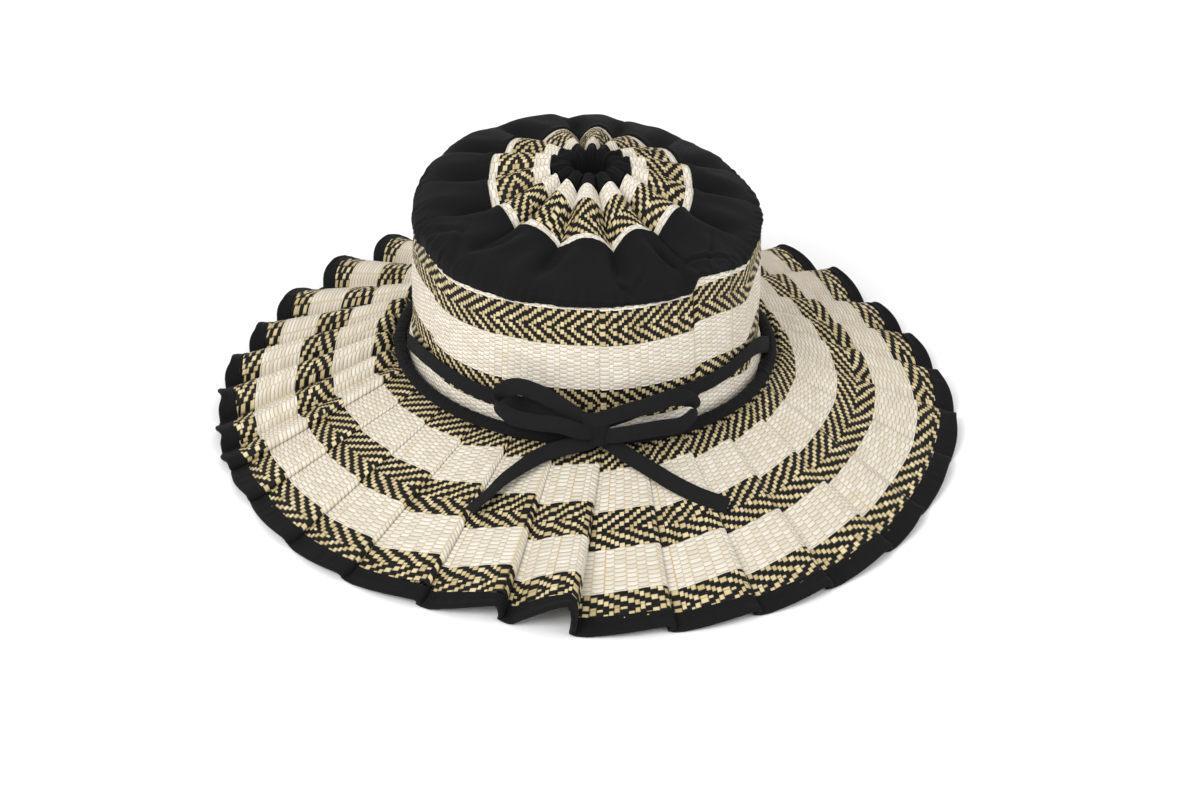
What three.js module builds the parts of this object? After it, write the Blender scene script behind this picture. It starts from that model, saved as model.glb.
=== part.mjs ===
// A folding straw sun hat: a pleated woven brim, an upright woven crown, a gathered
// cotton crown top with a pleated straw rosette, and a cotton tie with a bow in front.
// Millimetres, +Z up, the front of the hat and its bow face -Y. All radii and angles
// are measured about the hat's own upright axis; angles run from +X towards +Y.
import * as THREE from 'three';

// Driving sizes
const BRIM_INNER_RADIUS = 97;    // where the straw of the brim ends under the collar
const HEM_RADIUS = 203;          // mean radius of the brim's outer edge
const BRIM_TOP_HEIGHT = 38.5;    // upper face of the brim at its inner edge
const SIDE_DROP = 3;             // the brim and crown lean: left side higher, right lower
const STRAW_WALL = 1.6;
const COTTON_WALL = 1.5;
const SEAM_GAP = 0.5;           // clearance between two sewn pieces
const CREAM = 0xebe4d2;
const BLACK = 0x1c1c1e;

// Brim
const FOOT_START = 0.95;         // from this share of the brim outwards the folds lie flat
const HEM_START = 0.9;           // share of the brim where the black binding begins
const HEM_WALL = 2.4;
const STRAW_RAISE = 0.4;         // the straw sits in the middle of the thicker binding
const PRESSED_RISE = 0.5;        // fold height where the collar presses the folds flat
const PRESSED_END = 0.045;       // share of the brim where the folds begin to stand up
const OPEN_START = 0.105;        // and where they stand at their full height
const RISE_POWER = 1.6;          // how fast a fold changes its height towards the hem
const COLLAR_FALL = 0.8;         // width of the pressed returns under the collar
const TIP_OVERHANG = 2;          // a ridge tip reaches past the valley beside it
const FOOT_SHARE = 0.18;         // flat part of a panel beside its valley
const CREST_SHARE = 0.62;        // place of a panel's bend, and its height there
const CREST_HEIGHT = 0.7;
const HEM_BULGE = 2;             // the hem of a panel bows outwards between its folds

// One row for each of the 32 folds of the brim, anticlockwise from the right-hand side.
// hem and collar: angle of the ridge at either end; inner and rise: its height just outside
// the collar and at the hem; reach: radius of its tip; fall: how far the steep return
// behind it runs on at the hem.
const FOLDS = [
  { hem: -5.6, collar: -0.3, inner: 4.7, rise: 6, reach: 204, fall: 2 },
  { hem: 5.7, collar: 9.2, inner: 7.4, rise: 9, reach: 200, fall: 3.5 },
  { hem: 16.9, collar: 18.5, inner: 8.2, rise: 11, reach: 197, fall: 4.5 },
  { hem: 27.6, collar: 28, inner: 9.5, rise: 13, reach: 195, fall: 5.5 },
  { hem: 40.9, collar: 41, inner: 9, rise: 15, reach: 200, fall: 6.5 },
  { hem: 52.6, collar: 53, inner: 9.5, rise: 16, reach: 199, fall: 6.5 },
  { hem: 63.5, collar: 64, inner: 10, rise: 16, reach: 201, fall: 6.5 },
  { hem: 74.3, collar: 74.5, inner: 10, rise: 15, reach: 203, fall: 6.5 },
  { hem: 85, collar: 85, inner: 10, rise: 14, reach: 205, fall: 6.5 },
  { hem: 95.7, collar: 95.5, inner: 10, rise: 14, reach: 206, fall: 6.5 },
  { hem: 106.3, collar: 106, inner: 10, rise: 15, reach: 208, fall: 6.5 },
  { hem: 117, collar: 116.5, inner: 10, rise: 16, reach: 210, fall: 6.5 },
  { hem: 127.6, collar: 127.5, inner: 9.5, rise: 16, reach: 211, fall: 6.5 },
  { hem: 139.3, collar: 139.5, inner: 9, rise: 16, reach: 208, fall: 6.5 },
  { hem: 153.2, collar: 153, inner: 10, rise: 15, reach: 203, fall: 6.5 },
  { hem: 163.8, collar: 163.8, inner: 10.3, rise: 14, reach: 201, fall: 6.5 },
  { hem: 174.6, collar: 174.4, inner: 11.3, rise: 14, reach: 202.5, fall: 6.5 },
  { hem: 184.9, collar: 183.5, inner: 10.5, rise: 13, reach: 201.5, fall: 6 },
  { hem: 194.3, collar: 191.7, inner: 8, rise: 9, reach: 201.5, fall: 3 },
  { hem: 200.5, collar: 198.8, inner: 2.6, rise: 5, reach: 200, fall: 1 },
  { hem: 209.8, collar: 210, inner: 1, rise: 4, reach: 199.2, fall: 0.6 },
  { hem: 222.5, collar: 223.2, inner: 1, rise: 3.5, reach: 201, fall: 0.6 },
  { hem: 234.3, collar: 236.5, inner: 1, rise: 3.5, reach: 201.5, fall: 0.6 },
  { hem: 246.9, collar: 249, inner: 1, rise: 4, reach: 200.5, fall: 0.6 },
  { hem: 258.8, collar: 262.3, inner: 1, rise: 8.5, reach: 199.5, fall: 1.7 },
  { hem: 269, collar: 275.7, inner: 1, rise: 17, reach: 207.5, fall: 0.6 },
  { hem: 282, collar: 287.5, inner: 1, rise: 4.5, reach: 208.5, fall: 1 },
  { hem: 294, collar: 300.5, inner: 1, rise: 4, reach: 209, fall: 1 },
  { hem: 305.5, collar: 313.5, inner: 1, rise: 4, reach: 209, fall: 1 },
  { hem: 317.8, collar: 327, inner: 1, rise: 4, reach: 207.5, fall: 1 },
  { hem: 328.1, collar: 340, inner: 1, rise: 4, reach: 204.5, fall: 1 },
  { hem: 342.2, collar: 353, inner: 1, rise: 4.5, reach: 203.7, fall: 1 },
];

// Collar: a rolled cotton casing that covers the joint of brim and crown
const COLLAR_TUBE_RADIUS = 3.3;
const COLLAR_RADIUS = BRIM_INNER_RADIUS + COLLAR_TUBE_RADIUS;
const COLLAR_LIFT = 0.4;         // the rolled casing clears the pressed folds under it
const COLLAR_HEIGHT = BRIM_TOP_HEIGHT + COLLAR_TUBE_RADIUS + COLLAR_LIFT;
const COLLAR_SIDES = 6;
const COLLAR_STEPS = 48;

// Crown wall, from its foot under the collar up to the cotton seam
const CROWN_ROWS = [
  { height: 36.5, radius: 95.6 },
  { height: 45, radius: 94.9 },
  { height: 54, radius: 92.9 },
  { height: 110, radius: 91.6 },
];
const FRONT_PULL = 0.06;         // the front of the crown leans in by this share at the top
const PULL_START = 50;           // height where that lean begins
const SEAM_HEIGHT = 110;
const SEAM_SIDE_DROP = 2;

// Crown top: rosette folds, one row each. rim and centre: angle of the ridge at the outer
// edge of the straw and at the inner one; ridge and dip: how much higher than usual the
// ridge, and the valley after it, are at the outer edge.
const ROSETTE_FOLDS = [
  { rim: -3, centre: 1, ridge: -1, dip: 0 },
  { rim: 15, centre: 22, ridge: 1.5, dip: -1 },
  { rim: 39, centre: 45, ridge: -2, dip: -3 },
  { rim: 66, centre: 69, ridge: -4, dip: -4 },
  { rim: 86, centre: 88, ridge: -2, dip: -4.5 },
  { rim: 107.6, centre: 110, ridge: -2.5, dip: -6 },
  { rim: 141, centre: 137, ridge: 1.5, dip: -1 },
  { rim: 163, centre: 160, ridge: 3.5, dip: 0 },
  { rim: 185.5, centre: 186, ridge: 1.5, dip: 0 },
  { rim: 212, centre: 214, ridge: 2, dip: 1 },
  { rim: 234, centre: 235, ridge: 3, dip: 1 },
  { rim: 269, centre: 265.5, ridge: 2.5, dip: 1 },
  { rim: 297, centre: 298, ridge: 5, dip: 2.5 },
  { rim: 325, centre: 330, ridge: 6, dip: 1.5 },
];
const FOLD_STEPS = 6;            // points around one rosette fold
const TOP_STEPS = ROSETTE_FOLDS.length * FOLD_STEPS;
const CROWN_STEPS = 60;          // points around the crown wall
const BACK_SHAPE = 0.8;          // under 1, the backs of these folds are fuller than a sine

// The rosette sits a little to the right of the crown's axis.
const ROSETTE_SHIFT = 3;
const SHIFT_START = 92;          // radius where the cotton begins to follow that shift

// Sections of the crown top from the seam to the little hole in the middle. valley: height
// between the folds; lift: height of a ridge above it; own: share of each fold's own ridge
// and dip; fore and side: tilt of the section, lower in front and lower on the right.
const YOKE_SECTIONS = [
  { radius: 91.9, valley: 110.4, lift: 0, own: 0, fore: 0, side: -2 },
  { radius: 92.6, valley: 115.6, lift: 0, own: 0, fore: 2.5, side: -3.5 },
  { radius: 91, valley: 121, lift: 0.8, own: 0, fore: 7.5, side: -5 },
  { radius: 83, valley: 125.6, lift: 2, own: 0.15, fore: 9.5, side: -5.5 },
  { radius: 67, valley: 127.6, lift: 4.2, own: 0.6, fore: 10, side: -3.5 },
  { radius: 54.3, valley: 128.6, lift: 6.5, own: 1, fore: 9.5, side: -2 },
];
const YOKE_INNER_RADIUS = YOKE_SECTIONS[YOKE_SECTIONS.length - 1].radius;
const ROSETTE_SECTIONS = [
  { radius: 53.8, valley: 128.7, lift: 6.5, own: 1, fore: 9.5, side: -2 },
  { radius: 43, valley: 131.5, lift: 7.5, own: 0.7, fore: 8, side: -1.8 },
  { radius: 32, valley: 135, lift: 8.5, own: 0.3, fore: 4.5, side: -1.3 },
  { radius: 21.5, valley: 139, lift: 7.5, own: 0, fore: 1.5, side: -0.7 },
];
const CENTRE_SECTIONS = [
  { radius: 20.6, valley: 139.1, lift: 7.4, own: 0, fore: 1.5, side: -0.7 },
  { radius: 13.6, valley: 144.2, lift: 3.6, own: 0, fore: 1, side: -0.4 },
  { radius: 10, valley: 143, lift: 1.2, own: 0, fore: 0.3, side: 0 },
  { radius: 8.8, valley: 134, lift: 0.6, own: 0, fore: 0, side: 0 },
];

// Tie and bow. Each row is a place on the ribbon's middle line: turn is the angle about
// the hat's axis, out the radius, up the height; lean tips the ribbon's width from
// upright (0) towards lying flat (90), the near edge last.
const TIE_WIDTH = 9;
const BOW_WIDTH = 8.5;
const TAIL_WIDTH = 7.5;
const RIBBON_WALL = 1.3;
const TIE_LEFT = [
  { turn: 193, out: 96.4, up: 53.4, lean: 6 },
  { turn: 201, out: 95.2, up: 56, lean: 4 },
  { turn: 210, out: 94.7, up: 58, lean: 2 },
  { turn: 220, out: 94.5, up: 58, lean: 2 },
  { turn: 231, out: 94.5, up: 57, lean: 2 },
  { turn: 243, out: 94.8, up: 56.2, lean: 2 },
  { turn: 255, out: 96, up: 56.2, lean: 2 },
  { turn: 263, out: 99.5, up: 56, lean: 4 },
  { turn: 273.3, out: 103.9, up: 54, lean: 6 },
];
const TIE_RIGHT = [
  { turn: 274.6, out: 103.9, up: 54, lean: 6 },
  { turn: 283, out: 100, up: 56, lean: 4 },
  { turn: 290, out: 96.4, up: 57, lean: 2 },
  { turn: 300, out: 94.4, up: 57, lean: 2 },
  { turn: 311, out: 94.2, up: 57, lean: 2 },
  { turn: 322, out: 94.2, up: 57.3, lean: 2 },
  { turn: 332, out: 94.3, up: 56, lean: 2 },
  { turn: 338, out: 94.6, up: 53.2, lean: 4 },
  { turn: 344, out: 96, up: 48.6, lean: 6 },
];
const LOOP_LEFT = [
  { turn: 270.3, out: 107.4, up: 57.4, lean: 0 },
  { turn: 263.4, out: 105.4, up: 65.6, lean: 12 },
  { turn: 257, out: 104, up: 70.6, lean: 20 },
  { turn: 251, out: 103.9, up: 72, lean: 20 },
  { turn: 247, out: 106.2, up: 68, lean: 10 },
  { turn: 246.8, out: 110, up: 63, lean: 0 },
  { turn: 251.5, out: 112.4, up: 59.6, lean: 10 },
  { turn: 257.5, out: 112.8, up: 58.6, lean: 14 },
  { turn: 263.5, out: 111.9, up: 57.6, lean: 14 },
  { turn: 270.2, out: 109.6, up: 52.4, lean: 8 },
];
const LOOP_RIGHT = [
  { turn: 277.2, out: 106.4, up: 60.2, lean: 0 },
  { turn: 283, out: 105.2, up: 60.9, lean: 14 },
  { turn: 289, out: 104.6, up: 61.6, lean: 18 },
  { turn: 295, out: 104.4, up: 63.2, lean: 16 },
  { turn: 299.6, out: 106.6, up: 60.6, lean: 6 },
  { turn: 300.2, out: 109.6, up: 55.5, lean: 0 },
  { turn: 295.5, out: 111.7, up: 51.4, lean: 8 },
  { turn: 289, out: 112, up: 52.2, lean: 12 },
  { turn: 282.8, out: 111.1, up: 51.4, lean: 12 },
  { turn: 277.2, out: 109.8, up: 49.8, lean: 8 },
];
const TAIL_LEFT = [
  { turn: 270.7, out: 107.6, up: 44.4, lean: 20 },
  { turn: 264, out: 109.5, up: 42.4, lean: 35 },
  { turn: 259, out: 113, up: 39.6, lean: 55 },
  { turn: 255.2, out: 120.2, up: 36.4, lean: 75 },
  { turn: 252.2, out: 128.5, up: 33.2, lean: 85 },
  { turn: 250, out: 138.5, up: 29.4, lean: 85 },
  { turn: 248, out: 149, up: 25.2, lean: 80 },
];
const TAIL_RIGHT = [
  { turn: 277.1, out: 107.2, up: 43, lean: 20 },
  { turn: 281, out: 111.5, up: 38.8, lean: 45 },
  { turn: 285.6, out: 119.5, up: 34.2, lean: 68 },
  { turn: 289.6, out: 129.2, up: 30, lean: 72 },
  { turn: 293.6, out: 139, up: 26.3, lean: 72 },
  { turn: 298.3, out: 149.6, up: 22.4, lean: 72 },
];
const KNOT = { turn: 273.9, out: 107.6, up: 49.8, wide: 10.5, deep: 5.2, tall: 14.5 };
const KNOT_BEVEL = { size: 1.6, segments: 3 };
const KNOT_QUARTER_STEPS = 8;

const radians = THREE.MathUtils.degToRad;
const mix = THREE.MathUtils.lerp;

function material(color, roughness) {
  return new THREE.MeshStandardMaterial({ color, roughness, metalness: 0 });
}
const straw = material(CREAM, 0.75);
const cotton = material(BLACK, 0.65);

// A place about the hat's axis, from an angle in degrees, a radius and a height.
function place(turn, radius, height) {
  const angle = radians(turn);
  return new THREE.Vector3(radius * Math.cos(angle), radius * Math.sin(angle), height);
}

// Side lean: how much lower a place is than the mean, from its angle.
function sideLean(point, drop) {
  return -drop * point.x / Math.hypot(point.x, point.y);
}

function geometryFrom(positions, triangles) {
  const geometry = new THREE.BufferGeometry();
  const flat = positions.flatMap((point) => [point.x, point.y, point.z]);
  geometry.setAttribute('position', new THREE.Float32BufferAttribute(flat, 3));
  geometry.setIndex(triangles);
  geometry.computeVertexNormals();
  return geometry;
}

// Normal of the upper face between two neighbouring columns of a ring.
function faceNormal(rings, ring, column) {
  const count = rings[ring].length;
  const inner = rings[Math.max(ring - 1, 0)];
  const outer = rings[Math.min(ring + 1, rings.length - 1)];
  const next = (column + 1) % count;
  const around = new THREE.Vector3().subVectors(rings[ring][next], rings[ring][column]);
  const across = new THREE.Vector3()
    .subVectors(outer[column], inner[column])
    .add(outer[next])
    .sub(inner[next]);
  return new THREE.Vector3().crossVectors(across, around).normalize();
}

// The lower face of a wall: each point moves back along the mean of its two face normals,
// and further where the wall bends, so that the wall keeps its thickness.
function lowerRings(rings, wall) {
  const LEAST_SPREAD = 0.6;
  return rings.map((points, ring) => points.map((point, column) => {
    const before = faceNormal(rings, ring, (column - 1 + points.length) % points.length);
    const after = faceNormal(rings, ring, column);
    const middle = before.clone().add(after).normalize();
    const spread = Math.max(LEAST_SPREAD, middle.dot(after));
    return point.clone().addScaledVector(middle, -wall / spread);
  }));
}

// A closed body between an upper and a lower face, both given as rings of points that run
// anticlockwise, the innermost ring first.
function wallBetween(upper, lower) {
  const count = upper[0].length;
  const last = upper.length - 1;
  const positions = [...upper.flat(), ...lower.flat()];
  const below = upper.length * count;
  const triangles = [];
  function quad(a, b, c, d) {
    triangles.push(a, b, c, a, c, d);
  }
  for (let column = 0; column < count; column += 1) {
    const next = (column + 1) % count;
    for (let ring = 0; ring < last; ring += 1) {
      const near = ring * count;
      const far = near + count;
      quad(near + column, far + column, far + next, near + next);
      quad(below + near + column, below + near + next, below + far + next, below + far + column);
    }
    const edge = last * count;
    quad(column, next, below + next, below + column);
    quad(edge + column, below + edge + column, below + edge + next, edge + next);
  }
  return geometryFrom(positions, triangles);
}

// Brim. s runs from 0 at the inner edge to 1 at the hem.
function ridgeLine(fold, s) {
  const start = place(fold.collar, BRIM_INNER_RADIUS, 0);
  const tip = place(fold.hem, fold.reach, 0);
  return start.lerp(tip, s);
}

function valleyLine(fold, s) {
  const startTurn = fold.collar + THREE.MathUtils.radToDeg(COLLAR_FALL / BRIM_INNER_RADIUS);
  const tipTurn = fold.hem + THREE.MathUtils.radToDeg(fold.fall / fold.reach);
  const start = place(startTurn, BRIM_INNER_RADIUS, 0);
  return start.lerp(place(tipTurn, fold.reach - TIP_OVERHANG, 0), s);
}

function groundHeight(point, s, wall) {
  const inner = BRIM_TOP_HEIGHT - wall + sideLean(point, SIDE_DROP);
  return inner * Math.max(0, 1 - s / FOOT_START);
}

// Height of a ridge above the ground line of the brim.
function foldRise(fold, s) {
  const opened = mix(fold.inner, fold.rise, s ** RISE_POWER);
  return mix(PRESSED_RISE, opened, THREE.MathUtils.smoothstep(s, PRESSED_END, OPEN_START));
}

// The points of one ring of the brim: valley, end of the foot, bend and ridge of each
// panel. raise lifts the underside off the ground.
function brimRing(s, wall, raise) {
  const upper = [];
  const flat = [];
  FOLDS.forEach((fold, index) => {
    const previous = FOLDS[(index + FOLDS.length - 1) % FOLDS.length];
    const valley = valleyLine(previous, s);
    const ridge = ridgeLine(fold, s);
    const rise = foldRise(fold, s);
    const stations = [
      { share: 0, rise: 0, bulge: 0, foot: true },
      { share: FOOT_SHARE, rise: 0, bulge: HEM_BULGE / 2, foot: true },
      { share: CREST_SHARE, rise: rise * CREST_HEIGHT, bulge: HEM_BULGE, foot: false },
      { share: 1, rise, bulge: 0, foot: false },
    ];
    for (const station of stations) {
      const point = valley.clone().lerp(ridge, station.share);
      point.setLength(point.length() + station.bulge * s);
      point.z = groundHeight(point, s, wall) + wall + raise + station.rise;
      upper.push(point);
      flat.push(station.foot && s >= FOOT_START);
    }
  });
  return { upper, flat };
}

function brimGeometry(shares, wall, raise) {
  const rings = shares.map((s) => brimRing(s, wall, raise));
  const upper = rings.map((ring) => ring.upper);
  const lower = lowerRings(upper, wall);
  lower.forEach((points, ring) => points.forEach((point, column) => {
    point.z = rings[ring].flat[column] ? raise : Math.max(point.z, raise);
  }));
  return wallBetween(upper, lower);
}

function brim() {
  const shares = [0, PRESSED_END, OPEN_START, 0.36, 0.63, HEM_START];
  return brimGeometry(shares, STRAW_WALL, STRAW_RAISE);
}

function brimHem() {
  const start = HEM_START + SEAM_GAP / (HEM_RADIUS - BRIM_INNER_RADIUS);
  return brimGeometry([start, FOOT_START, 1], HEM_WALL, 0);
}

// Collar: a ring of round section, tipped to the side with the brim.
function collar() {
  const profile = [];
  for (let side = 0; side <= COLLAR_SIDES; side += 1) {
    const angle = 2 * Math.PI * (side % COLLAR_SIDES) / COLLAR_SIDES;
    profile.push(new THREE.Vector2(
      COLLAR_RADIUS + COLLAR_TUBE_RADIUS * Math.cos(angle),
      COLLAR_TUBE_RADIUS * Math.sin(angle),
    ));
  }
  const geometry = new THREE.LatheGeometry(profile, COLLAR_STEPS);
  geometry.rotateX(Math.PI / 2);
  geometry.rotateY(Math.asin(SIDE_DROP / COLLAR_RADIUS));
  geometry.translate(0, 0, COLLAR_HEIGHT);
  return geometry;
}

// The front of the crown leans inwards with height.
function pulledRadius(radius, turn, height) {
  const front = Math.max(0, -Math.sin(radians(turn)));
  const share = Math.max(0, (height - PULL_START) / (SEAM_HEIGHT - PULL_START));
  return radius * (1 - FRONT_PULL * front ** 2 * Math.min(1, share));
}

function crownBand() {
  const foot = CROWN_ROWS[0].height;
  const upper = [...CROWN_ROWS].reverse().map((row) => {
    const share = (row.height - foot) / (SEAM_HEIGHT - foot);
    return Array.from({ length: CROWN_STEPS }, (_, column) => {
      const turn = 360 * column / CROWN_STEPS;
      const point = place(turn, pulledRadius(row.radius, turn, row.height), row.height);
      point.z += sideLean(point, mix(SIDE_DROP, SEAM_SIDE_DROP, share));
      return point;
    });
  });
  return wallBetween(upper, lowerRings(upper, STRAW_WALL));
}

// Angle of one of the points around a rosette fold: whole folds run from valley to valley,
// and a valley lies midway between two ridges.
function foldAngle(column, key) {
  const count = ROSETTE_FOLDS.length;
  const fold = Math.floor(column / FOLD_STEPS);
  const share = (column % FOLD_STEPS) / FOLD_STEPS;
  const ridge = ROSETTE_FOLDS[fold][key];
  const before = ROSETTE_FOLDS[(fold + count - 1) % count][key] - (fold === 0 ? 360 : 0);
  const after = ROSETTE_FOLDS[(fold + 1) % count][key] + (fold === count - 1 ? 360 : 0);
  if (share < 0.5) {
    return mix((before + ridge) / 2, ridge, share * 2);
  }
  return mix(ridge, (ridge + after) / 2, share * 2 - 1);
}

// Height of a fold's round back across its width, 0 in the valley and 1 on the ridge.
function foldBack(column) {
  const share = (column % FOLD_STEPS) / FOLD_STEPS;
  return Math.sin(Math.PI * share) ** BACK_SHAPE;
}

// Height of the crown top at one of those points, before the section's tilt.
function foldHeight(section, column) {
  const count = ROSETTE_FOLDS.length;
  const fold = Math.floor(column / FOLD_STEPS);
  const firstHalf = (column % FOLD_STEPS) / FOLD_STEPS < 0.5;
  const { ridge } = ROSETTE_FOLDS[fold];
  const { dip } = ROSETTE_FOLDS[firstHalf ? (fold + count - 1) % count : fold];
  const lift = section.lift + section.own * (ridge - dip);
  return section.valley + section.own * dip + lift * foldBack(column);
}

// One ring of the crown top. twist is 0 where the folds have their outer angles and 1
// where they have their inner ones.
function topRing(section, twist) {
  return Array.from({ length: TOP_STEPS }, (_, column) => {
    const turn = mix(foldAngle(column, 'rim'), foldAngle(column, 'centre'), twist);
    const point = place(turn, pulledRadius(section.radius, turn, section.valley), 0);
    const angle = radians(turn);
    const shifted = (SHIFT_START - section.radius) / (SHIFT_START - YOKE_INNER_RADIUS);
    point.x += ROSETTE_SHIFT * THREE.MathUtils.clamp(shifted, 0, 1);
    point.z = foldHeight(section, column)
      + section.fore * Math.sin(angle) + section.side * Math.cos(angle);
    return point;
  });
}

function topGeometry(sections, twistOf, wall) {
  const upper = [...sections].reverse().map((section) => topRing(section, twistOf(section)));
  return wallBetween(upper, lowerRings(upper, wall));
}

function crownYoke() {
  return topGeometry(YOKE_SECTIONS, () => 0, COTTON_WALL);
}

function rosette() {
  const outer = ROSETTE_SECTIONS[0].radius;
  const inner = ROSETTE_SECTIONS[ROSETTE_SECTIONS.length - 1].radius;
  const twistOf = (section) => (outer - section.radius) / (outer - inner);
  return topGeometry(ROSETTE_SECTIONS, twistOf, STRAW_WALL);
}

function rosetteCentre() {
  return topGeometry(CENTRE_SECTIONS, () => 1, COTTON_WALL);
}

// Ribbon: a flat strip swept along its rows.
function ribbon(rows, width, wall) {
  const middle = rows.map((row) => place(row.turn, row.out, row.up));
  const curve = new THREE.CatmullRomCurve3(middle, false, 'centripetal');
  const steps = 2 * (rows.length - 1);
  const positions = [];
  for (let step = 0; step <= steps; step += 1) {
    const share = step / steps;
    const along = curve.getTangent(share);
    const row = share * (rows.length - 1);
    const before = rows[Math.floor(row)];
    const after = rows[Math.min(Math.floor(row) + 1, rows.length - 1)];
    const blend = row - Math.floor(row);
    const lean = radians(mix(before.lean, after.lean, blend));
    const outward = place(mix(before.turn, after.turn, blend), 1, 0);
    const tipped = new THREE.Vector3(0, 0, 1).multiplyScalar(Math.cos(lean))
      .addScaledVector(outward, -Math.sin(lean));
    const face = new THREE.Vector3().crossVectors(along, tipped).normalize();
    const across = new THREE.Vector3().crossVectors(face, along).normalize();
    const centre = curve.getPoint(share);
    for (const [side, depth] of [[-1, -1], [1, -1], [1, 1], [-1, 1]]) {
      positions.push(centre.clone()
        .addScaledVector(across, side * width / 2)
        .addScaledVector(face, depth * wall / 2));
    }
  }
  const triangles = [];
  for (let step = 0; step < steps; step += 1) {
    for (let side = 0; side < 4; side += 1) {
      const a = 4 * step + side;
      const b = 4 * step + (side + 1) % 4;
      triangles.push(a, b, b + 4, a, b + 4, a + 4);
    }
  }
  const end = 4 * steps;
  triangles.push(0, 2, 1, 0, 3, 2, end, end + 1, end + 2, end, end + 2, end + 3);
  return geometryFrom(positions, triangles);
}

// Knot: a rounded bar of cloth wrapped upright round the crossing of the ribbons.
function bowKnot() {
  const outline = new THREE.Shape();
  const halfWide = KNOT.wide / 2;
  const halfDeep = KNOT.deep / 2;
  outline.absellipse(0, 0, halfWide, halfDeep, 0, 2 * Math.PI);
  const geometry = new THREE.ExtrudeGeometry(outline, {
    depth: KNOT.tall - 2 * KNOT_BEVEL.size,
    bevelEnabled: true,
    bevelThickness: KNOT_BEVEL.size,
    bevelSize: KNOT_BEVEL.size / 2,
    bevelOffset: -KNOT_BEVEL.size / 2,
    bevelSegments: KNOT_BEVEL.segments,
    curveSegments: KNOT_QUARTER_STEPS,
  });
  geometry.translate(0, 0, KNOT_BEVEL.size - KNOT.tall / 2);
  geometry.rotateZ(radians(KNOT.turn + 90));
  const seat = place(KNOT.turn, KNOT.out, KNOT.up);
  geometry.translate(seat.x, seat.y, seat.z);
  return geometry;
}

const PIECES = [
  { name: 'brim', shape: brim(), finish: straw },
  { name: 'brim_hem', shape: brimHem(), finish: cotton },
  { name: 'collar', shape: collar(), finish: cotton },
  { name: 'crown_band', shape: crownBand(), finish: straw },
  { name: 'crown_yoke', shape: crownYoke(), finish: cotton },
  { name: 'rosette', shape: rosette(), finish: straw },
  { name: 'rosette_centre', shape: rosetteCentre(), finish: cotton },
  { name: 'tie_left', shape: ribbon(TIE_LEFT, TIE_WIDTH, RIBBON_WALL), finish: cotton },
  { name: 'tie_right', shape: ribbon(TIE_RIGHT, TIE_WIDTH, RIBBON_WALL), finish: cotton },
  { name: 'bow_knot', shape: bowKnot(), finish: cotton },
  { name: 'bow_loop_left', shape: ribbon(LOOP_LEFT, BOW_WIDTH, RIBBON_WALL), finish: cotton },
  { name: 'bow_loop_right', shape: ribbon(LOOP_RIGHT, BOW_WIDTH, RIBBON_WALL), finish: cotton },
  { name: 'tail_left', shape: ribbon(TAIL_LEFT, TAIL_WIDTH, RIBBON_WALL), finish: cotton },
  { name: 'tail_right', shape: ribbon(TAIL_RIGHT, TAIL_WIDTH, RIBBON_WALL), finish: cotton },
];

const hat = new THREE.Group();
for (const piece of PIECES) {
  const mesh = new THREE.Mesh(piece.shape, piece.finish);
  mesh.name = piece.name;
  hat.add(mesh);
}

// The origin is the middle of the hat's footprint, on the ground.
const extent = new THREE.Box3().setFromObject(hat);
const footprint = extent.getCenter(new THREE.Vector3());
hat.position.set(-footprint.x, -footprint.y, -extent.min.z);
hat.updateMatrixWorld(true);

export default hat;
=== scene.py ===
# The looks of a folding straw sun hat: bands of woven straw, a cotton crown top, binding,
# collar, tie and bow. Shape code works in millimetres about the hat's own upright axis,
# with the front of the hat and its bow towards -Y; angles run from +X towards +Y.
import math
from types import SimpleNamespace

import bpy
import numpy as np
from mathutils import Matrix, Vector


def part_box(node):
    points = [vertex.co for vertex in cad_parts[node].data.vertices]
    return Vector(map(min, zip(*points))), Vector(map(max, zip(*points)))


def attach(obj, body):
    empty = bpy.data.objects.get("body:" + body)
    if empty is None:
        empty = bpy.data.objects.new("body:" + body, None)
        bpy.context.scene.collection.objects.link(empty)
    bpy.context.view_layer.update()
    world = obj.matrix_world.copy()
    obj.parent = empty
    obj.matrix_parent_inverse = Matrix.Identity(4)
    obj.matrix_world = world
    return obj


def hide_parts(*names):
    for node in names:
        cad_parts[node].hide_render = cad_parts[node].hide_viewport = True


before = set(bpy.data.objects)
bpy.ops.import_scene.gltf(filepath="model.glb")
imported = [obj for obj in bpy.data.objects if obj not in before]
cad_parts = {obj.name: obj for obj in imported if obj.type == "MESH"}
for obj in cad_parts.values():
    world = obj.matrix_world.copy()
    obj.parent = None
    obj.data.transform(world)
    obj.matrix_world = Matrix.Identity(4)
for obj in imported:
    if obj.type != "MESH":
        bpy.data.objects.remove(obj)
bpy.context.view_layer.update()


def table(keys, rows):
    """Rows of numbers whose columns have names."""
    names = keys.split()
    return [SimpleNamespace(**dict(zip(names, row))) for row in rows]


def numbers(rows, keys):
    """Some columns of such a table, as an array."""
    return np.array([[getattr(row, key) for key in keys.split()] for row in rows], float)


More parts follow.
